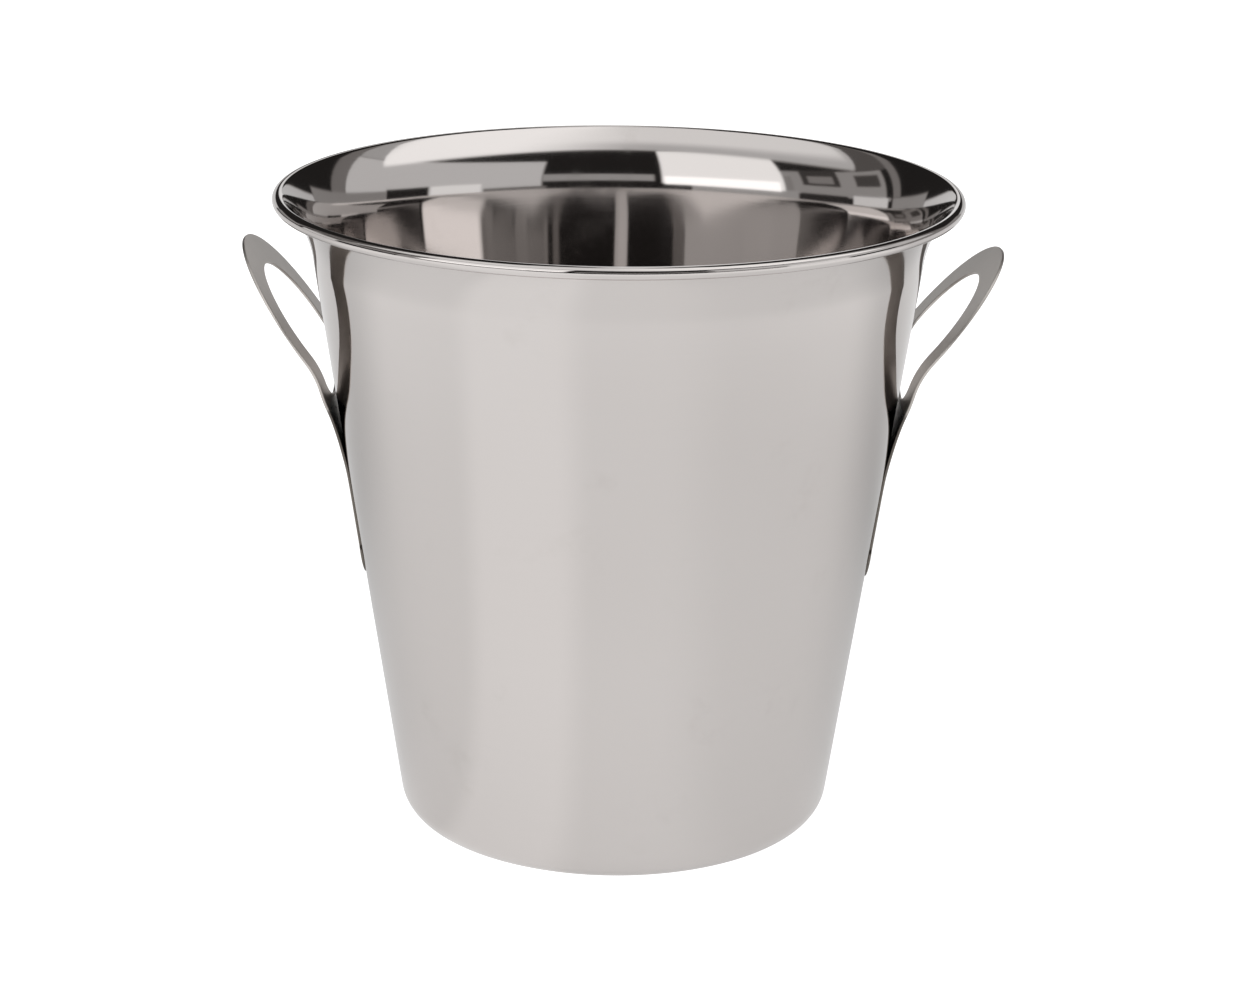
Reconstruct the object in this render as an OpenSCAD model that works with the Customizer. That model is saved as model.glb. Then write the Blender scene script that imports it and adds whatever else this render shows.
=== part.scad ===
// Champagne bucket: one spun sheet-metal bucket with a rolled edge, and two
// flat strap handles spot-welded to its wall.
// Millimetres. +Z is up, the bucket stands on Z = 0 and its axis is the Z axis.
// The handles lie along X.

/* [Bucket] */
// Height from the table to the top of the rolled edge
bucket_h = 209.5; // [180:0.5:251.5]
// Diameter across the rolled edge
rim_d = 220; // [184:1:260]
// Diameter of the wall where it would meet the table
base_d = 139.8; // [120:0.2:150]
// Thickness of the sheet
sheet_t = 0.8; // [0.6:0.1:1.2]
// Outside radius of the bottom corner
corner_r = 10; // [6:0.5:16]

/* [Mouth] */
// Radius of the flare, on its outside face
flare_r = 34; // [24:1:44]
// Lean from upright at which the flare meets the rolled edge
flare_lean = 45; // [35:1:55]
// Diameter of the rolled edge
bead_d = 4; // [3.6:0.1:6]
// How far the sheet turns in the rolled edge
bead_turn = 270; // [180:5:280]

/* [Bottom] */
// How far the middle of the bottom is raised
recess_h = 1.5; // [1:0.1:4]
// Width of the ring that the bucket stands on
stand_w = 7; // [4:0.5:14]
// Slope of the step between the ring and the raised middle
step_angle = 30; // [20:1:45]
// Outside radius of the step's two bends
step_r = 2.5; // [1.5:0.1:4]

/* [Handle strap] */
// Thickness of the strap
strap_t = 0.9; // [0.8:0.1:1.4]
// Diameter of the strap's round head
head_d = 68; // [57:0.2:78]
// Diameter of the finger hole
hole_d = 46.4; // [34:0.2:50]
// Radius of the head's shoulders
shoulder_r = 29.5; // [22:0.5:34]
// Radius that blends the shoulders into the neck
neck_blend_r = 44; // [34:1:54]
// Width of the neck
neck_w = 15; // [11:0.2:18]
// Diameter of the pad at the strap's foot
pad_d = 16; // [16:0.5:26]

/* [Handle bends] */
// Height of the pad's centre on the wall
pad_z = 89; // [70:0.5:100]
// Length of strap from the pad's centre to where it leaves the wall
tail_len = 27; // [26:0.5:36]
// Radius of the first bend, where the strap leaves the wall
kick_r = 60; // [30:1:90]
// Angle of the first bend
kick_angle = 2.4; // [1:0.1:6]
// Length of strap between the two bends
neck_len = 32.8; // [26:0.2:40]
// Radius of the second bend
bend_r = 25; // [15:1:40]
// Angle of the second bend in the left handle
bend_left = 23.7; // [15:0.1:34]
// Angle of the second bend in the right handle
bend_right = 29.2; // [15:0.1:34]
// Distance from the second bend to the middle of the head
head_rise = 14.8; // [10:0.1:20]
// How deep the wall's curve is pressed into the back of the strap
seat_depth = 0.3; // [0.2:0.05:0.5]

/* [Spot welds] */
// Diameter of a weld
weld_d = 5; // [3:0.5:7]
// Distance from one weld to the next
weld_pitch = 11; // [8:0.5:11.5]
// Number of welds in each handle
weld_count = 3; // [2:1:3]
// How far a weld reaches into the bucket's sheet
weld_bite = 0.4; // [0.2:0.05:0.5]
// How far a weld's face lies below the face of the strap
weld_sink = 0.15; // [0.05:0.05:0.3]

/* [Hidden] */
$fn = 180;
STEEL = [0.78, 0.77, 0.75];
SATIN = [0.66, 0.65, 0.63];
WELD = [0.58, 0.57, 0.55];
ARC_STEP = 3;

rim_r = rim_d / 2;
base_r = base_d / 2;
bead_r = bead_d / 2;
bead_in = bead_r - sheet_t;

// A pose is [distance from the axis, height, lean from upright]. A path along
// a sheet's outside face is a list of moves: ["run", length] goes straight,
// and ["turn", radius, angle] bends outwards, or inwards with a minus angle.
function ahead(lean) = [sin(lean), cos(lean)];
function outward(lean) = [cos(lean), -sin(lean)];
function place(pose) = [pose[0], pose[1]];
function bend_centre(pose, move) =
    place(pose) + sign(move[2]) * move[1] * outward(pose[2]);
function after(pose, move) =
    move[0] == "run"
    ? let (p = place(pose) + move[1] * ahead(pose[2])) [p[0], p[1], pose[2]]
    : let (
        lean = pose[2] + move[2],
        p = bend_centre(pose, move) - sign(move[2]) * move[1] * outward(lean)
    ) [p[0], p[1], lean];
function pose_at(pose, moves, count, i = 0) =
    i == count ? pose : pose_at(after(pose, moves[i]), moves, count, i + 1);

// The flare's centre, from the rolled edge that it runs into.
flare_centre = [rim_r - bead_r, bucket_h - bead_r] + (flare_r - bead_in) * outward(flare_lean);
// The wall starts at the base radius and is tangent to the flare.
to_flare = flare_centre - [base_r, 0];
wall_lean = acos(flare_r / norm(to_flare)) - atan2(to_flare[1], to_flare[0]);
function wall_r(z) = base_r + z * tan(wall_lean);

corner_x = base_r + corner_r * (tan(wall_lean) - 1 / cos(wall_lean));
wall_foot = [corner_x, corner_r] + corner_r * outward(wall_lean);
wall_head = flare_centre - flare_r * outward(wall_lean);
step_run = (recess_h - 2 * step_r * (1 - cos(step_angle))) / sin(step_angle);
step_w = 2 * step_r * sin(step_angle) + step_run * cos(step_angle);

SHELL_START = [0, recess_h, 90];
SHELL_MOVES = [
    ["run", corner_x - stand_w - step_w],
    ["turn", step_r, step_angle],
    ["run", step_run],
    ["turn", step_r, -step_angle],
    ["run", stand_w],
    ["turn", corner_r, wall_lean - 90],
    ["run", norm(wall_head - wall_foot)],
    ["turn", flare_r, flare_lean - wall_lean],
    ["turn", bead_in, bead_turn]
];

// The strap's outside face, from the foot of its pad to the tip of its head.
pad_r = pad_d / 2;
past_pad = 1;
strap_out = strap_t - seat_depth;
pad_centre = [wall_r(pad_z), pad_z] + strap_out * outward(wall_lean);
strap_foot = pad_centre - (pad_r + past_pad) * ahead(wall_lean);
STRAP_START = [strap_foot[0], strap_foot[1], wall_lean];
function strap_moves(bend) = [
    ["run", pad_r + past_pad + tail_len],
    ["turn", kick_r, kick_angle],
    ["run", neck_len],
    ["turn", bend_r, bend],
    ["run", head_rise + head_d / 2]
];
// The blank's outline lies square to the middle of the second bend.
function blank_pose(bend) =
    let (p = pose_at(STRAP_START, strap_moves(bend), 3))
    [p[0], p[1], p[2] + bend / 2];
function along_blank(bend, point) =
    (point - place(blank_pose(bend))) * ahead(blank_pose(bend)[2]);

// Points on an arc, from angle a to angle b.
function arc_points(centre, r, a, b) =
    let (n = max(2, ceil(abs(b - a) / ARC_STEP)))
    [for (i = [0 : n]) let (q = a + (b - a) * i / n) centre + r * [cos(q), sin(q)]];

// The points that one move adds to the face that lies t inside the path.
function move_points(pose, move, t) =
    move[0] == "run"
    ? [place(pose) - t * outward(pose[2]), place(after(pose, move)) - t * outward(pose[2])]
    : move[2] > 0
    ? arc_points(bend_centre(pose, move), move[1] + t, 180 - pose[2], 180 - pose[2] - move[2])
    : arc_points(bend_centre(pose, move), move[1] - t, -pose[2], -pose[2] - move[2]);
function face_points(pose, moves, t) = [
    for (i = [0 : len(moves) - 1])
        let (points = move_points(pose_at(pose, moves, i), moves[i], t))
        // Each move starts on the last point of the one before.
        for (k = [i == 0 ? 0 : 1 : len(points) - 1]) points[k]
];
function backwards(points) = [for (i = [len(points) - 1 : -1 : 0]) points[i]];
module sheet_path(pose, moves, t) {
    polygon(concat(face_points(pose, moves, 0), backwards(face_points(pose, moves, t))));
}

function mirrored(points) = [for (i = [len(points) - 1 : -1 : 0]) [points[i][0], -points[i][1]]];

// Half of the blank's outline, from the tip to the neck, along X.
head_r = head_d / 2;
neck_half = neck_w / 2;
shoulder_start = 6;
head_at = [head_rise, 0];
shoulder_centre = head_at + (head_r - shoulder_r) * [-sin(shoulder_start), cos(shoulder_start)];
// The shoulder and the blend into the neck are two arcs that meet without a corner.
shoulder_to_blend = shoulder_r + neck_blend_r;
waist_slope = acos((neck_half + neck_blend_r - shoulder_centre[1]) / shoulder_to_blend);
blend_centre = shoulder_centre + shoulder_to_blend * [-sin(waist_slope), cos(waist_slope)];
HALF_BLANK = concat(
    arc_points(head_at, head_r, 0, 90 + shoulder_start),
    arc_points(shoulder_centre, shoulder_r, 90 + shoulder_start, 90 + waist_slope),
    arc_points(blend_centre, neck_blend_r, waist_slope - 90, -90)
);

module blank(bend) {
    pad_u = along_blank(bend, pad_centre);
    difference() {
        union() {
            polygon(concat(HALF_BLANK, [[pad_u, neck_half], [pad_u, -neck_half]], mirrored(HALF_BLANK)));
            translate([pad_u, 0]) circle(pad_r);
        }
        translate(head_at) circle(d = hole_d);
    }
}

// Stands a drawing of (distance from the axis, height) up in the XZ plane.
module side_on(width) {
    rotate([90, 0, 0]) linear_extrude(width, center = true) children();
}

// Lays a drawing of (distance along the strap, sideways) square to the strap at a pose.
module square_to(pose, depth) {
    translate([pose[0], 0, pose[1]])
        rotate([0, pose[2] - 90, 0])
            linear_extrude(depth, center = true) children();
}

// The welds of the right handle, from inside the bucket's sheet to the strap's face.
module weld_row() {
    for (i = [0 : weld_count - 1]) {
        at = [wall_r(pad_z), pad_z] + i * weld_pitch * ahead(wall_lean);
        translate([at[0], 0, at[1]])
            rotate([0, 90 + wall_lean, 0])
                translate([0, 0, -weld_bite])
                    cylinder(h = weld_bite + strap_out - weld_sink, d = weld_d);
    }
}

// The pits that the welds fill, with the shallow mark above each.
module weld_pits() {
    weld_row();
    translate(weld_sink * [cos(wall_lean), 0, -sin(wall_lean)]) weld_row();
}

// The space inside the wall's outside face, which the strap lies against.
module wall_cone() {
    rotate_extrude()
        polygon([[0, 0], [wall_r(0), 0], [wall_r(bucket_h), bucket_h], [0, bucket_h]]);
}

module strap(bend) {
    blank_depth = 120;
    difference() {
        intersection() {
            side_on(2 * head_d) sheet_path(STRAP_START, strap_moves(bend), strap_t);
            square_to(blank_pose(bend), blank_depth) blank(bend);
        }
        wall_cone();
        weld_pits();
    }
}

module bucket_shell() {
    color(STEEL) difference() {
        rotate_extrude() sheet_path(SHELL_START, SHELL_MOVES, sheet_t);
        weld_row();
        mirror([1, 0, 0]) weld_row();
    }
}

module right_handle() {
    color(SATIN) strap(bend_right);
}

module left_handle() {
    color(SATIN) mirror([1, 0, 0]) strap(bend_left);
}

module right_handle_welds() {
    color(WELD) weld_row();
}

module left_handle_welds() {
    color(WELD) mirror([1, 0, 0]) weld_row();
}

bucket_shell();
left_handle();
right_handle();
left_handle_welds();
right_handle_welds();
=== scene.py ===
"""A champagne bucket spun from polished steel sheet, with two satin strap handles spot-welded to its wall.

Metres, +Z up. The bucket stands on Z = 0, its axis is the Z axis and its handles lie along X.
"""
import math

import bmesh
import bpy
import numpy as np
from mathutils import Matrix, Vector, noise
from mathutils.geometry import delaunay_2d_cdt


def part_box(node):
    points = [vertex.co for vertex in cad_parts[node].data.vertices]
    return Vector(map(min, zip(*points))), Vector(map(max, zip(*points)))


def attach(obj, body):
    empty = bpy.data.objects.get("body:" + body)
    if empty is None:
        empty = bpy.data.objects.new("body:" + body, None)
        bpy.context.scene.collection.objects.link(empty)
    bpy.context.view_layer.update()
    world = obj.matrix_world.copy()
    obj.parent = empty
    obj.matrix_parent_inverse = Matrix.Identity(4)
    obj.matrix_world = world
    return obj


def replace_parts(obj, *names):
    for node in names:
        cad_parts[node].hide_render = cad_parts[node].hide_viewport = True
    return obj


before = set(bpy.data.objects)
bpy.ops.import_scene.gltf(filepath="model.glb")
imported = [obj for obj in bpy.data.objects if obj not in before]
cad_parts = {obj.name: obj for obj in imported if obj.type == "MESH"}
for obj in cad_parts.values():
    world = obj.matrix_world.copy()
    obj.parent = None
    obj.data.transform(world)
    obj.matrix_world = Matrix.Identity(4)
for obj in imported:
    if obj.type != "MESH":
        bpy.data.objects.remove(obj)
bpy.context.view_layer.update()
SHELL_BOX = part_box("bucket_shell")

MM = 0.001
DEGREES = 180 / math.pi

# ---- sizes of the bucket ----
RIM_R = SHELL_BOX[1].x
BUCKET_H = SHELL_BOX[1].z
BASE_R = 69.9 * MM
SHEET_T = 0.8 * MM
CORNER_R = 10 * MM
FLARE_R = 34 * MM
FLARE_LEAN = math.radians(45)
BEAD_R = 2 * MM
BEAD_TURN = math.radians(270)
RECESS_H = 1.5 * MM
STAND_W = 7 * MM
STEP_ANGLE = math.radians(30)
STEP_R = 2.5 * MM
ROUND_THE_BUCKET = 240

# ---- sizes of the handles ----
STRAP_T = 0.9 * MM
HEAD_R = 34 * MM
HOLE_R = 23.2 * MM
SHOULDER_R = 29.5 * MM
SHOULDER_START = math.radians(6)
NECK_BLEND_R = 44 * MM
NECK_HALF = 7.5 * MM
PAD_R = 8 * MM
PAD_Z = 89 * MM
PAST_PAD = 1 * MM
TAIL_LEN = 27 * MM
KICK_R = 60 * MM
KICK_ANGLE = math.radians(2.4)
NECK_LEN = 32.8 * MM
BEND_R = 25 * MM
BEND_LEFT = math.radians(23.7)
BEND_RIGHT = math.radians(29.2)
HEAD_RISE = 14.8 * MM
SEAT_DEPTH = 0.3 * MM
EDGE_EASE = 0.22 * MM

# ---- sizes of the spot welds ----
WELD_R = 2.5 * MM
WELD_PITCH = 11 * MM
WELD_COUNT = 3
WELD_BITE = 0.4 * MM
WELD_SINK = 0.15 * MM


# ---- bent sheet: straight runs and turns, walked along the outside face ----
def ahead(lean):
    return np.array([math.sin(lean), math.cos(lean)])


def outward(lean):
    return np.array([math.cos(lean), -math.sin(lean)])


class SheetPath:
    """Stations on a sheet's outside face: distance from the axis, height, lean from upright and length."""

    def __init__(self, place, lean):
        self.stations = [(place[0], place[1], lean, 0.0)]
        self.corners = [self.stations[0]]

    def run(self, length, step):
        r, z, lean, walked = self.stations[-1]
        count = max(1, math.ceil(length / step))
        for i in range(1, count + 1):
            gone = length * i / count
            p = np.array([r, z]) + gone * ahead(lean)
            self.stations.append((p[0], p[1], lean, walked + gone))
        self.corners.append(self.stations[-1])
        return self

    def turn(self, radius, angle, step):
        """Bends outwards by angle, or inwards where angle is negative."""
        r, z, lean, walked = self.stations[-1]
        side = math.copysign(radius, angle)
        centre = np.array([r, z]) + side * outward(lean)
        count = max(2, math.ceil(abs(angle) / step))
        for i in range(1, count + 1):
            turned = angle * i / count
            p = centre - side * outward(lean + turned)
            self.stations.append((p[0], p[1], lean + turned, walked + radius * abs(turned)))
        self.corners.append(self.stations[-1])
        return self

    def face(self, depth):
        """The points (distance from the axis, height) that lie depth inside the outside face."""
        return [np.array([r, z]) - depth * outward(lean) for r, z, lean, _ in self.stations]


FLARE_CENTRE = np.array([RIM_R - BEAD_R, BUCKET_H - BEAD_R])
FLARE_CENTRE = FLARE_CENTRE + (FLARE_R - BEAD_R + SHEET_T) * outward(FLARE_LEAN)
_to_flare = FLARE_CENTRE - np.array([BASE_R, 0])
WALL_LEAN = math.acos(FLARE_R / np.linalg.norm(_to_flare)) - math.atan2(_to_flare[1], _to_flare[0])


def wall_r(z):
    """The wall's outside radius at a height."""
    return BASE_R + z * math.tan(WALL_LEAN)


def bucket_path():
    corner_x = BASE_R + CORNER_R * (math.tan(WALL_LEAN) - 1 / math.cos(WALL_LEAN))
    wall_foot = np.array([corner_x, CORNER_R]) + CORNER_R * outward(WALL_LEAN)
    wall_head = FLARE_CENTRE - FLARE_R * outward(WALL_LEAN)
    step_run = (RECESS_H - 2 * STEP_R * (1 - math.cos(STEP_ANGLE))) / math.sin(STEP_ANGLE)
    step_w = 2 * STEP_R * math.sin(STEP_ANGLE) + step_run * math.cos(STEP_ANGLE)
    path = SheetPath((0, RECESS_H), math.radians(90))
    path.run(corner_x - STAND_W - step_w, 6 * MM)
    path.turn(STEP_R, STEP_ANGLE, math.radians(8)).run(step_run, 1 * MM)
    path.turn(STEP_R, -STEP_ANGLE, math.radians(8)).run(STAND_W, 2 * MM)
    path.turn(CORNER_R, WALL_LEAN - math.radians(90), math.radians(4.5))
    path.run(np.linalg.norm(wall_head - wall_foot), 2.2 * MM)
    path.turn(FLARE_R, FLARE_LEAN - WALL_LEAN, math.radians(1.5))
    path.turn(BEAD_R - SHEET_T, BEAD_TURN, math.radians(9))
    return path


# ---- meshes ----
def add_piece(name, mesh, material):
    for polygon in mesh.polygons:
        polygon.use_smooth = True
    piece = bpy.data.objects.new(name, mesh)
    bpy.context.scene.collection.objects.link(piece)
    mesh.materials.append(material)
    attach(piece, "root")
    return piece


def spinning_waves(angle, z):
    """How far the wall stands off its true surface, from the roller that the sheet was spun with."""
    fade = min(1.0, max(0.0, (z - 14 * MM) / (20 * MM)))
    fade *= min(1.0, max(0.0, (BUCKET_H - 8 * MM - z) / (14 * MM)))
    around = Vector((math.cos(angle), math.sin(angle), 0))
    rings = noise.noise(around * 0.7 + Vector((3.1, 7.7, z / (9 * MM))))
    panels = noise.noise(around * 2.2 + Vector((9.4, 1.3, z / (60 * MM))))
    dents = noise.noise(around * 4.0 + Vector((5.2, 2.8, z / (16 * MM))))
    return fade * (0.016 * MM * rings + 0.07 * MM * panels + 0.03 * MM * dents)


def lathe_mesh(name, profile):
    """A closed profile turned about the Z axis. Its first and last points lie on the axis."""
    bm = bmesh.new()
    turns = [2 * math.pi * k / ROUND_THE_BUCKET for k in range(ROUND_THE_BUCKET)]
    rings = []
    for r, z in profile:
        if r < 1e-7:
            rings.append([bm.verts.new((0, 0, z))])
            continue
        ring = []
        for angle in turns:
            here = r + spinning_waves(angle, z)
            ring.append(bm.verts.new((here * math.cos(angle), here * math.sin(angle), z)))
        rings.append(ring)
    for low, high in zip(rings, rings[1:]):
        for k in range(ROUND_THE_BUCKET):
            corners = [low[k % len(low)], low[(k + 1) % len(low)]]
            corners += [high[(k + 1) % len(high)], high[k % len(high)]]
            bm.faces.new(list(dict.fromkeys(corners)))
    bmesh.ops.recalc_face_normals(bm, faces=bm.faces)
    mesh = bpy.data.meshes.new(name)
    bm.to_mesh(mesh)
    bm.free()
    return mesh


def make_bucket(material):
    path = bucket_path()
    profile = path.face(0) + path.face(SHEET_T)[::-1]
    piece = add_piece("spun_bucket", lathe_mesh("spun_bucket", profile), material)
    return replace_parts(piece, "bucket_shell")


# ---- handles ----
class Strap:
    """One handle: its bends, seen from the side, and its blank, seen square on."""

    def __init__(self, name, bend, side):
        self.name = name
        self.side = side
        out = STRAP_T - SEAT_DEPTH
        pad_centre = np.array([wall_r(PAD_Z), PAD_Z]) + out * outward(WALL_LEAN)
        foot = pad_centre - (PAD_R + PAST_PAD) * ahead(WALL_LEAN)
        self.path = SheetPath(foot, WALL_LEAN)
        self.path.run(PAD_R + PAST_PAD + TAIL_LEN, 1 * MM).turn(KICK_R, KICK_ANGLE, math.radians(1))
        self.path.run(NECK_LEN, 1 * MM).turn(BEND_R, bend, math.radians(2))
        self.path.run(HEAD_RISE + HEAD_R, 1 * MM)
        r, z, lean, _ = self.path.corners[3]
        self.blank_place = np.array([r, z])
        self.blank_ahead = ahead(lean + bend / 2)
        self.table = np.array(self.path.stations)
        self.blank_u = (self.table[:, :2] - self.blank_place) @ self.blank_ahead

    def length_at(self, u):
        """Length along the strap at a distance along the blank."""
        return float(np.interp(u, self.blank_u, self.table[:, 3]))

    def point(self, length, sideways, depth):
        """A point of the strap, kept clear of the wall that its back is pressed against."""
        r, z, lean = (float(np.interp(length, self.table[:, 3], self.table[:, i])) for i in range(3))
        x, z = np.array([r, z]) - depth * outward(lean)
        wall = wall_r(z)
        if abs(sideways) < wall:
            x = max(x, math.sqrt(wall ** 2 - sideways ** 2) + 0.01 * MM)
        return Vector((self.side * x, sideways, z))


def arc(centre, radius, start, end, step=math.radians(3)):
    count = max(2, math.ceil(abs(end - start) / step))
    angles = [start + (end - start) * i / count for i in range(count + 1)]
    return [(centre[0] + radius * math.cos(a), centre[1] + radius * math.sin(a)) for a in angles]


def straight(a, b, step=2 * MM):
    """Points from a to b, without b."""
    count = max(1, math.ceil(math.dist(a, b) / step))
    return [(a[0] + (b[0] - a[0]) * i / count, a[1] + (b[1] - a[1]) * i / count) for i in range(count)]


def half_blank(pad_u):
    """Half of the blank's outline, from the tip of the head to the foot of the pad."""
    head = (HEAD_RISE, 0)
    spread = HEAD_R - SHOULDER_R
    shoulder = (
        HEAD_RISE - spread * math.sin(SHOULDER_START),
        spread * math.cos(SHOULDER_START),
    )
    reach = SHOULDER_R + NECK_BLEND_R
    slope = math.acos((NECK_HALF + NECK_BLEND_R - shoulder[1]) / reach)
    blend = (shoulder[0] - reach * math.sin(slope), NECK_HALF + NECK_BLEND_R)
    quarter = math.pi / 2
    neck_end = (pad_u + math.sqrt(PAD_R ** 2 - NECK_HALF ** 2), NECK_HALF)
    points = arc(head, HEAD_R, 0, quarter + SHOULDER_START)
    points += arc(shoulder, SHOULDER_R, quarter + SHOULDER_START, quarter + slope)[1:]
    points += arc(blend, NECK_BLEND_R, slope - quarter, -quarter)[1:]
    points += straight(points[-1], neck_end)[1:]
    pad_start = math.asin(NECK_HALF / PAD_R)
    points += arc((pad_u, 0), PAD_R, pad_start, math.pi, math.radians(5))
    return points


def hole_outline():
    """The round finger hole."""
    return arc((HEAD_RISE, 0), HOLE_R, 0, 2 * math.pi)[:-1]


def moved_in(loop, distance):
    """A counter-clockwise loop moved to its left by a distance."""
    p = np.array(loop)
    before, after = np.roll(p, 1, axis=0), np.roll(p, -1, axis=0)
    into, out_of = p - before, after - p
    into /= np.linalg.norm(into, axis=1)[:, None]
    out_of /= np.linalg.norm(out_of, axis=1)[:, None]
    left = np.stack([-into[:, 1] - out_of[:, 1], into[:, 0] + out_of[:, 0]], axis=1)
    left /= np.linalg.norm(left, axis=1)[:, None]
    stretch = left[:, 0] * -into[:, 1] + left[:, 1] * into[:, 0]
    return p + left * (distance / np.maximum(stretch, 0.5))[:, None]


def inside(loop, points):
    """Which points lie inside a loop."""
    a = np.asarray(loop)
    b = np.roll(a, -1, axis=0)
    x, y = points[:, 0][:, None], points[:, 1][:, None]
    crosses = (a[:, 1] > y) != (b[:, 1] > y)
    with np.errstate(divide="ignore", invalid="ignore"):
        at = a[:, 0] + (y - a[:, 1]) * (b[:, 0] - a[:, 0]) / (b[:, 1] - a[:, 1])
    return (np.sum(crosses & (x < at), axis=1) % 2).astype(bool)


def weld_lengths():
    return [PAD_R + PAST_PAD + i * WELD_PITCH for i in range(WELD_COUNT)]


def weld_mark(length, sideways):
    """Depth of the electrode's marks in the strap's face: a flat pit with a low raised lip."""
    depth = 0.0
    for at in weld_lengths():
        away = math.hypot(length - at, sideways) / WELD_R
        pit = 1 - min(1, max(0, (away - 0.86) / 0.3))
        lip = math.exp(-((away - 1.25) / 0.12) ** 2)
        depth += WELD_SINK * pit * pit * (3 - 2 * pit) - 0.03 * MM * lip
    return depth


def face_fill(outer, hole):
    """Triangles and points that fill a strap's face between two loops, with rings about each weld."""
    spacing = 1.5 * MM
    low, high = outer.min(axis=0), outer.max(axis=0)
    grid = []
    rows = math.ceil((high[1] - low[1]) / spacing)
    columns = math.ceil((high[0] - low[0]) / spacing)
    for row in range(rows + 1):
        shift = 0.5 * (row % 2)
        for column in range(columns + 1):
            grid.append((low[0] + (column + shift) * spacing, low[1] + row * spacing))
    grid = np.array(grid)
    margin = 0.7 * MM
    keep = inside(moved_in(outer, margin), grid)
    keep &= ~inside(moved_in(hole, margin)[::-1], grid)
    for at in weld_lengths():
        keep &= np.hypot(grid[:, 0] - at, grid[:, 1]) > 1.6 * WELD_R
    extra = [grid[keep]]
    for at in weld_lengths():
        extra.append(np.array([[at, 0.0]]))
        for share in (0.4, 0.8, 0.9, 1.0, 1.1, 1.2, 1.3, 1.45):
            turns = np.linspace(0, 2 * math.pi, 32, endpoint=False)
            ring = np.stack([np.cos(turns), np.sin(turns)], axis=1) * share * WELD_R
            extra.append(ring + np.array([at, 0.0]))
    extra = np.concatenate(extra)
    points = np.concatenate([outer, hole, extra])
    edges = [(i, (i + 1) % len(outer)) for i in range(len(outer))]
    start = len(outer)
    edges += [(start + i, start + (i + 1) % len(hole)) for i in range(len(hole))]
    made, _, faces, origin, _, _ = delaunay_2d_cdt([Vector(p) for p in points], edges, [], 0, 1e-9)
    made = np.array([tuple(p) for p in made])
    faces = np.array([list(f) for f in faces])
    centres = made[faces].mean(axis=1)
    keep = inside(outer, centres) & ~inside(hole, centres)
    source = [o[0] for o in origin]
    return extra, [[source[i] for i in face] for face in faces[keep]]


def strap_mesh(strap):
    """The strap as a closed solid with eased edges, laid out flat and then bent to its path."""
    pad_u = float((np.array([wall_r(PAD_Z), PAD_Z]) + (STRAP_T - SEAT_DEPTH) * outward(WALL_LEAN)
                   - strap.blank_place) @ strap.blank_ahead)
    half = half_blank(pad_u)
    outline = half + [(u, -w) for u, w in half[-2:0:-1]]
    outer = np.array([(strap.length_at(u), w) for u, w in outline])
    hole = np.array([(strap.length_at(u), w) for u, w in hole_outline()])[::-1]
    ease = [(EDGE_EASE * (1 - math.sin(a)), EDGE_EASE * (1 - math.cos(a)))
            for a in np.linspace(0, math.pi / 2, 5)]
    bm = bmesh.new()

    def ring(loop, inset, depth, marked=False):
        flat = moved_in(loop, inset)
        deep = [depth + (weld_mark(*p) if marked else 0) for p in flat]
        return [bm.verts.new(strap.point(p[0], p[1], d)) for p, d in zip(flat, deep)]

    def join(a, b):
        for i in range(len(a)):
            k = (i + 1) % len(a)
            bm.faces.new((a[i], a[k], b[k], b[i]))

    support = EDGE_EASE + 0.25 * MM
    rims = []
    for loop in (outer, hole):
        rings = [ring(loop, support, 0, True)]
        rings += [ring(loop, inset, depth) for inset, depth in ease]
        rings += [ring(loop, inset, STRAP_T - depth) for inset, depth in reversed(ease)]
        rings.append(ring(loop, support, STRAP_T))
        for a, b in zip(rings, rings[1:]):
            join(a, b)
        rims.append((rings[0], rings[-1]))
    flat_outer, flat_hole = moved_in(outer, support), moved_in(hole, support)
    extra, triangles = face_fill(flat_outer, flat_hole)
    for which, depth in ((0, 0.0), (1, STRAP_T)):
        verts = rims[0][which] + rims[1][which]
        for s, w in extra:
            mark = weld_mark(s, w) if which == 0 else 0
            verts.append(bm.verts.new(strap.point(s, w, depth + mark)))
        for triangle in triangles:
            bm.faces.new([verts[i] for i in triangle])
    bmesh.ops.recalc_face_normals(bm, faces=bm.faces)
    mesh = bpy.data.meshes.new(strap.name)
    bm.to_mesh(mesh)
    bm.free()
    return mesh


def make_handle(strap, cad_node, material):
    piece = add_piece(strap.name, strap_mesh(strap), material)
    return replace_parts(piece, cad_node)


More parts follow.
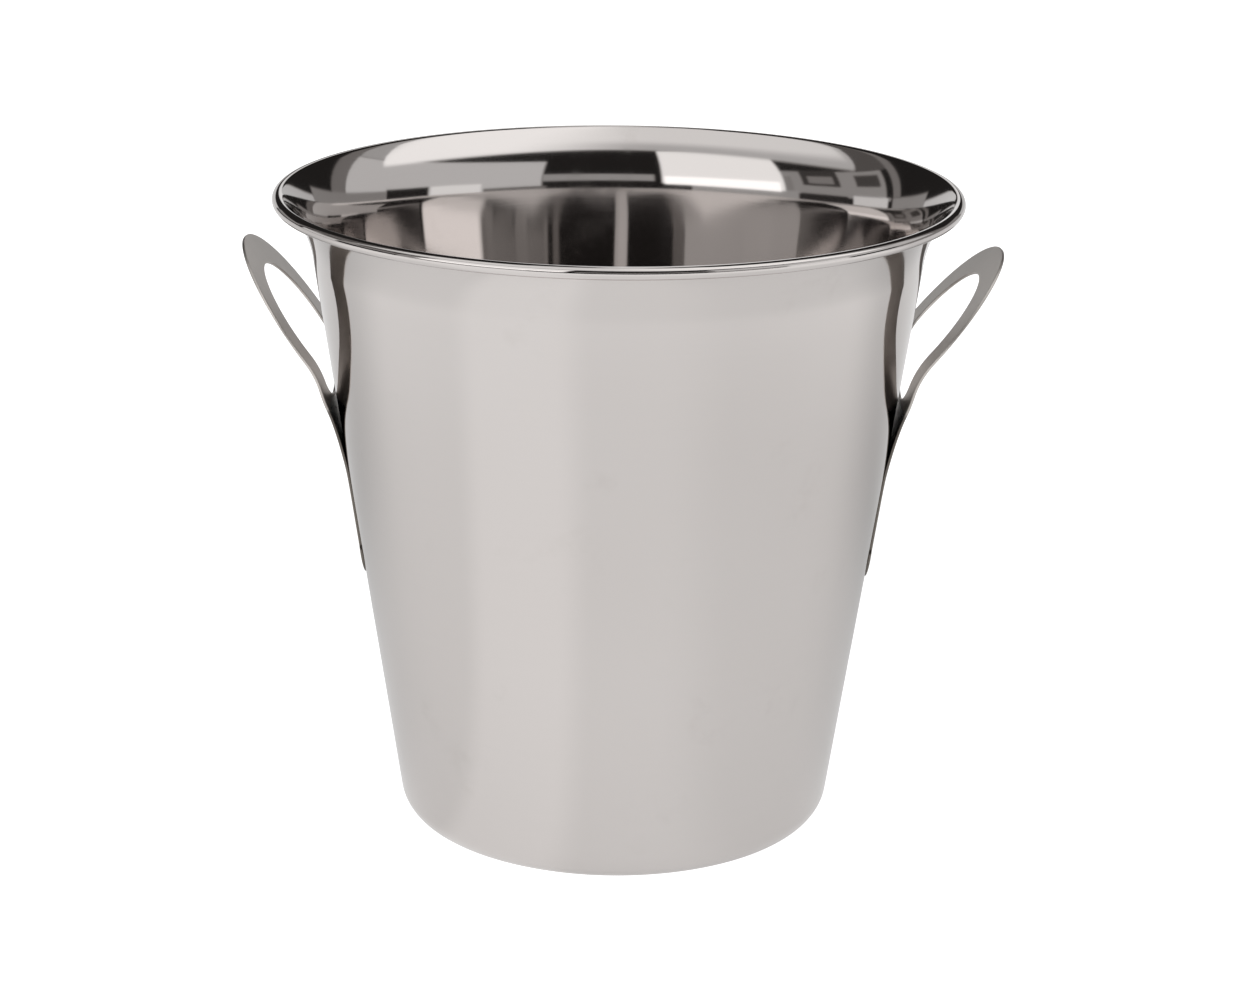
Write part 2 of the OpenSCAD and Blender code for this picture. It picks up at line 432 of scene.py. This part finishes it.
def make_welds(strap, name, cad_node, material):
    """The fused metal of one handle's welds: a dished disc in each pit, reaching into the bucket's sheet."""
    bm = bmesh.new()
    profile = [(0.0, 0.02), (0.35, 0.012), (0.7, 0.0), (0.88, -0.012), (0.97, 0.0), (1.0, 0.04)]
    foot = STRAP_T - SEAT_DEPTH + WELD_BITE
    for at in weld_lengths():
        rings = []
        levels = [(share * WELD_R, WELD_SINK - 0.02 * MM + dip * MM) for share, dip in profile]
        levels += [(WELD_R, foot), (0.0, foot)]
        for radius, depth in levels:
            turns = [2 * math.pi * k / 32 for k in range(32)] if radius else [0.0]
            ring = []
            for turn in turns:
                r, z, lean, _ = strap.path.stations[0]
                place = np.array([r, z]) + (at + radius * math.cos(turn)) * ahead(lean)
                place = place - depth * outward(lean)
                ring.append(bm.verts.new((strap.side * place[0], radius * math.sin(turn), place[1])))
            rings.append(ring)
        for a, b in zip(rings, rings[1:]):
            for k in range(32):
                corners = [a[k % len(a)], a[(k + 1) % len(a)], b[(k + 1) % len(b)], b[k % len(b)]]
                bm.faces.new(list(dict.fromkeys(corners)))
    bmesh.ops.recalc_face_normals(bm, faces=bm.faces)
    mesh = bpy.data.meshes.new(name)
    bm.to_mesh(mesh)
    bm.free()
    piece = add_piece(name, mesh, material)
    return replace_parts(piece, cad_node)


# ---- finishes ----
class Value:
    """A number or colour that a node puts out. Python's operators on it add Math nodes."""

    def __init__(self, finish, socket):
        self.finish, self.socket = finish, socket

    def _math(self, operation, *values):
        return self.finish.node("ShaderNodeMath", {"operation": operation}, dict(enumerate(values)))

    def __add__(self, other):
        return self._math("ADD", self, other)

    __radd__ = __add__

    def __mul__(self, other):
        return self._math("MULTIPLY", self, other)

    __rmul__ = __mul__

    def __sub__(self, other):
        return self._math("SUBTRACT", self, other)

    def __rsub__(self, other):
        return self._math("SUBTRACT", other, self)

    def __truediv__(self, other):
        return self._math("DIVIDE", self, other)

    def __pow__(self, other):
        return self._math("POWER", self, other)


class Finish:
    """The nodes of a material or of the world."""

    def __init__(self, tree):
        self.tree = tree

    def node(self, kind, settings=None, inputs=None, output=0):
        """Adds a node, sets it up, then fills its sockets with numbers, colours or other nodes' values."""
        made = self.tree.nodes.new(kind)
        for key, setting in (settings or {}).items():
            setattr(made, key, setting)
        for key, value in (inputs or {}).items():
            self.feed(self._socket(made.inputs, key), value)
        return Value(self, self._socket(made.outputs, output))

    def feed(self, socket, value):
        if isinstance(value, Value):
            self.tree.links.new(value.socket, socket)
        else:
            socket.default_value = value

    @staticmethod
    def _socket(sockets, key):
        shown = [s for s in sockets if s.enabled]
        return shown[key] if isinstance(key, int) else next(s for s in shown if s.name == key)

    def blend(self, factor, first, second):
        """Colour first, turning into second as factor goes from 0 to 1."""
        return self.node("ShaderNodeMix", {"data_type": "RGBA"},
                         {"Factor": factor, "A": first, "B": second})

    def step(self, value, low, high):
        """0 below low, 1 above high, smooth between."""
        return self.node("ShaderNodeMapRange", {"interpolation_type": "SMOOTHSTEP"},
                         {"Value": value, "From Min": low, "From Max": high})

    def noise(self, vector, scale, detail=2.0, roughness=0.5):
        return self.node("ShaderNodeTexNoise", {"noise_dimensions": "3D"},
                         {"Vector": vector, "Scale": scale, "Detail": detail, "Roughness": roughness},
                         "Fac")

    def bearing(self):
        """Degrees round the Z axis, from the front towards the right."""
        return self.node("ShaderNodeMath", {"operation": "ARCTAN2"}, {0: self.x, 1: 0 - self.y}) * DEGREES

    def joined(self, x, y, z):
        return self.node("ShaderNodeCombineXYZ", None, {0: x, 1: y, 2: z})

    def split(self, vector):
        made = self.node("ShaderNodeSeparateXYZ", None, {0: vector})
        outputs = made.socket.node.outputs
        return [Value(self, outputs[i]) for i in range(3)]


class Metal(Finish):
    """A metal, with the values along the bucket that its pattern follows."""

    def __init__(self, name):
        self.material = bpy.data.materials.new(name)
        self.material.use_nodes = True
        super().__init__(self.material.node_tree)
        self.shader = self.tree.nodes["Principled BSDF"]
        self.shader.inputs["Metallic"].default_value = 1.0
        self.place = self.node("ShaderNodeTexCoord", None, None, "Object")
        self.x, self.y, self.z = self.split(self.place)
        self.radius = (self.x * self.x + self.y * self.y) ** 0.5

    def set(self, name, value):
        self.feed(self.shader.inputs[name], value)

    def bump(self, height, distance, strength):
        inputs = {"Height": height, "Distance": distance, "Strength": strength}
        return self.node("ShaderNodeBump", None, inputs, "Normal")


def polished_sheet():
    """Spun steel, buffed round the bucket: fine rings, a soft haze of handling and warm drifts of tone."""
    m = Metal("polished_sheet")
    around = m.joined(m.x / (m.radius + 0.001) * 1.5, m.y / (m.radius + 0.001) * 1.5, m.z * 1.0)
    coarse = m.joined(m.x * 12, m.y * 12, (m.z + m.radius) * 420)
    fine = m.joined(m.x * 25, m.y * 25, (m.z + m.radius) * 2200)
    buffing = m.noise(coarse, 1.0, 3.0)
    hairlines = m.noise(fine, 1.0, 2.0)
    haze = m.noise(around, 2.4, 4.0, 0.6)
    smudges = m.step(m.noise(m.place, 34.0, 5.0, 0.62), 0.58, 0.76)
    drift = m.noise(m.place, 11.0, 2.0)
    tone = m.blend(drift, (0.585, 0.548, 0.530, 1), (0.612, 0.582, 0.568, 1))
    tone = m.blend(smudges * 0.25, tone, (0.50, 0.465, 0.44, 1))
    m.set("Base Color", m.blend(hairlines * 0.12, tone, (0.50, 0.49, 0.48, 1)))
    m.set("Roughness", 0.035 + haze * 0.04 + buffing * 0.01 + smudges * 0.04)
    m.set("Anisotropic", 0.9)
    m.set("Anisotropic Rotation", 0.25)
    m.set("Normal", m.bump(buffing * 0.6 + hairlines * 0.4, 0.00001, 0.4))
    return m.material


def satin_strap():
    """Steel strip with a brushed face. Its back and edges, from the finger hole down, are painted dark as
    shade and made smoother.
    """
    m = Metal("satin_strap")
    grain = m.noise(m.joined(m.y * 2600, m.z * 60, m.x * 60), 1.0, 3.0)
    cloud = m.noise(m.place, 60.0, 4.0, 0.6)
    tone = m.blend(cloud, (0.50, 0.465, 0.435, 1), (0.66, 0.63, 0.60, 1))
    tone = m.blend(grain * 0.25, tone, (0.42, 0.39, 0.36, 1))
    way_out = m.split(m.node("ShaderNodeTexCoord", None, None, "Normal"))[0]
    back = 1 - m.step(m.x * way_out, 0.02, 0.06)
    # Painted shade: below the finger hole, the back and edges turn near-black brown and smoother.
    painted_shade_zone = back * (1 - m.step(m.z + 0.002 * cloud, 0.1415, 0.1440))
    m.set("Base Color", m.blend(painted_shade_zone, tone, (0.15, 0.135, 0.12, 1)))
    m.set("Roughness", 0.28 - painted_shade_zone * 0.12 + grain * 0.07 + cloud * 0.08)
    m.set("Normal", m.bump(grain, 0.00002, 0.5))
    return m.material


def weld_metal():
    """The electrode's print: dull, a little darker and browned."""
    m = Metal("weld_metal")
    grit = m.noise(m.place, 1400.0, 4.0, 0.7)
    stain = m.noise(m.place, 300.0, 3.0)
    tone = m.blend(stain, (0.36, 0.33, 0.29, 1), (0.52, 0.49, 0.46, 1))
    m.set("Base Color", m.blend(grit * 0.3, tone, (0.24, 0.23, 0.23, 1)))
    m.set("Roughness", 0.38 + grit * 0.2)
    m.set("Normal", m.bump(grit, 0.00004, 0.7))
    return m.material


def pale_floor():
    """A light table: a pale sheet that glows by itself, so that shadows on it stay soft. Its glow carries a
    painted pool of light and painted dimmer and brighter ground.
    """
    m = Metal("pale_floor")
    m.set("Metallic", 0.0)
    cloud = m.noise(m.place, 3.0, 2.0)
    m.set("Base Color", m.blend(cloud, (0.32, 0.32, 0.32, 1), (0.34, 0.34, 0.34, 1)))
    m.set("Roughness", 0.9)
    bearing = m.bearing()
    # Painted light: a pool of light from the white screen, in front on the left, and painted dimmer ground
    # on the right.
    painted_light_pool = m.step(bearing, -62, -50) * (1 - m.step(bearing, -22, -8))
    glow = 0.64 + 0.10 * painted_light_pool - 0.06 * m.step(bearing, 15, 45) - 0.06 * m.step(bearing, 75, 110)
    # Painted shade: dimmer ground behind on the left and behind the bucket; painted light: brighter ground
    # further out.
    glow = glow - 0.07 * (1 - m.step(bearing, -110, -75))
    glow = glow + (0.80 - glow) * m.step(m.radius, 0.30, 0.65)
    glow = glow - 0.28 * m.step(m.y, 0.0, 0.25)
    # Painted light for the camera only: the table is overexposed and looks whiter than what the bucket shows
    # of it.
    glow = glow + 0.6 * m.node("ShaderNodeLightPath", None, None, "Is Camera Ray")
    m.set("Emission Color", m.joined(glow, glow, glow))
    m.set("Emission Strength", 1.0)
    return m.material


# ---- studio ----
class Studio(Finish):
    """A grey room with a bright ceiling, laid on panel by panel.

    Bearings are degrees round from the front towards the right, heights are degrees above the horizon.
    """

    def __init__(self):
        world = bpy.data.worlds.new("studio")
        world.use_nodes = True
        bpy.context.scene.world = world
        super().__init__(world.node_tree)
        self.background = self.tree.nodes["Background"]
        self.x, self.y, self.z = self.split(self.node("ShaderNodeTexCoord", None, None, "Generated"))
        self.around = self.bearing()
        self.height = self.node("ShaderNodeMath", {"operation": "ARCSINE"}, {0: self.z}) * DEGREES
        self.glow = self.height * 0.0 + 0.02

    def lay(self, mask, level):
        """Covers what is there with a brightness, where the mask is 1."""
        self.glow = self.glow + mask * (level - self.glow)

    def panel(self, left, right, bottom, top, level, soft=1.0):
        mask = self.step(self.around, left - soft, left + soft)
        mask = mask * (1 - self.step(self.around, right - soft, right + soft))
        mask = mask * self.step(self.height, bottom - soft, bottom + soft)
        self.lay(mask * (1 - self.step(self.height, top - soft, top + soft)), level)

    def ceiling(self):
        """Its edge comes down towards the sides and goes up again behind. It is brighter on the right."""
        facing = (0 - self.y) / (self.x * self.x + self.y * self.y) ** 0.5
        behind = self.step(0 - facing, 0.30, 0.60)
        on_the_right = self.step(self.around, -20, 60)
        above = self.height - 14 * facing - 46 * behind
        level = 0.62 + 0.40 * self.step(above, 40, 50)
        level = level + (1.36 - level) * on_the_right
        level = level + (0.85 - level) * behind
        self.lay(self.step(above, 34, 38), level)

    def shine(self):
        """Dark things look a little brown, and the camera sees plain white."""
        pale = self.step(self.glow, 0.0, 0.6)
        tinted = self.joined(self.glow, self.glow * (0.93 + 0.07 * pale), self.glow * (0.90 + 0.10 * pale))
        seen = self.node("ShaderNodeLightPath", None, None, "Is Camera Ray")
        self.feed(self.background.inputs["Color"], self.blend(seen, tinted, (1, 1, 1, 1)))


def light_studio():
    s = Studio()
    # The grey walls on both sides, and what stands low before them
    s.panel(-126, -66, 11, 31, 0.37)
    s.panel(-127, -107, 31, 75, 0.12)
    s.panel(31, 127, -4, 36, 0.70)
    s.panel(107, 127, 36, 75, 0.50)
    s.panel(127, 136, -4, 75, 0.22)
    s.panel(-75, -29, -4, 13, 0.42)
    s.panel(-14, 31, 14, 21.5, 0.42)
    s.panel(29, 55, -4, 9, 0.20)
    s.panel(102, 150, -4, 13, 0.30)
    s.panel(-150, -127, 4, 13, 0.35)
    s.panel(-173, -150, -4, 9, 0.70)
    s.panel(150, 173, -4, 9, 0.60)
    # Cards and gaps
    s.panel(56, 79, -4, 14, 1.05)
    s.panel(80, 102, 2, 14, 0.02)
    s.panel(-124, -103, 0, 13, 0.83)
    s.panel(-100, -76, -4, 12, 0.03)
    s.panel(-132, -127, 13, 75, 0.25)
    s.panel(-127, -123, 13, 31, 0.02)
    s.panel(-73, -66, 13, 26, 0.30)
    # Two dark windows on the left and a lit doorway behind
    s.panel(-120, -106, 20, 28, 0.08)
    s.panel(-97, -78, 19, 32, 0.06)
    s.panel(-94, -81, 21, 27, 0.28)
    s.panel(173, 181, -4, 75, 0.90)
    s.panel(-181, -177, -4, 75, 0.80)
    # The white screen
    s.panel(-69, -17, 12, 49, 1.28)
    s.panel(-67, -18, 11, 20, 1.85)
    s.ceiling()
    s.shine()


def add_lamp(name, place, size, power):
    data = bpy.data.lights.new(name, "AREA")
    data.size, data.energy = size, power
    lamp = bpy.data.objects.new(name, data)
    bpy.context.scene.collection.objects.link(lamp)
    lamp.location = place
    lamp.rotation_euler = (Vector((0, 0, 0)) - Vector(place)).to_track_quat("-Z", "Y").to_euler()
    lamp.visible_glossy = False
    return lamp


def add_floor():
    mesh = bpy.data.meshes.new("floor")
    half = 7.0
    corners = [(-half, -half, 0), (half, -half, 0), (half, half, 0), (-half, half, 0)]
    mesh.from_pydata(corners, [], [(0, 1, 2, 3)])
    floor = bpy.data.objects.new("floor", mesh)
    bpy.context.scene.collection.objects.link(floor)
    mesh.materials.append(pale_floor())


def add_camera():
    """Standing 1 m in front of the bucket and looking down on it."""
    pitch, yaw, roll = math.radians(17.420), math.radians(0.166), math.radians(0.591)
    forward = Vector((math.sin(yaw) * math.cos(pitch), math.cos(yaw) * math.cos(pitch), -math.sin(pitch)))
    right = forward.cross(Vector((0, 0, 1))).normalized()
    up = right.cross(forward)
    tilted_right = right * math.cos(roll) + up * math.sin(roll)
    tilted_up = up * math.cos(roll) - right * math.sin(roll)
    data = bpy.data.cameras.new("camera")
    data.sensor_width, data.lens = 36.0, 92.04
    camera = bpy.data.objects.new("camera", data)
    bpy.context.scene.collection.objects.link(camera)
    turn = Matrix((tilted_right, tilted_up, -forward)).transposed().to_4x4()
    camera.matrix_world = Matrix.Translation((0, -1.0, 0.4195)) @ turn
    bpy.context.scene.camera = camera


def main():
    steel, satin, weld = polished_sheet(), satin_strap(), weld_metal()
    make_bucket(steel)
    left = Strap("left_strap", BEND_LEFT, -1)
    right = Strap("right_strap", BEND_RIGHT, 1)
    make_handle(left, "left_handle", satin)
    make_handle(right, "right_handle", satin)
    make_welds(left, "left_weld_marks", "left_handle_welds", weld)
    make_welds(right, "right_weld_marks", "right_handle_welds", weld)
    add_floor()
    light_studio()
    add_lamp("soft_light", (0, -0.6, 2.6), 2.4, 30)
    add_camera()
    bpy.context.scene.view_settings.view_transform = "Standard"


main()
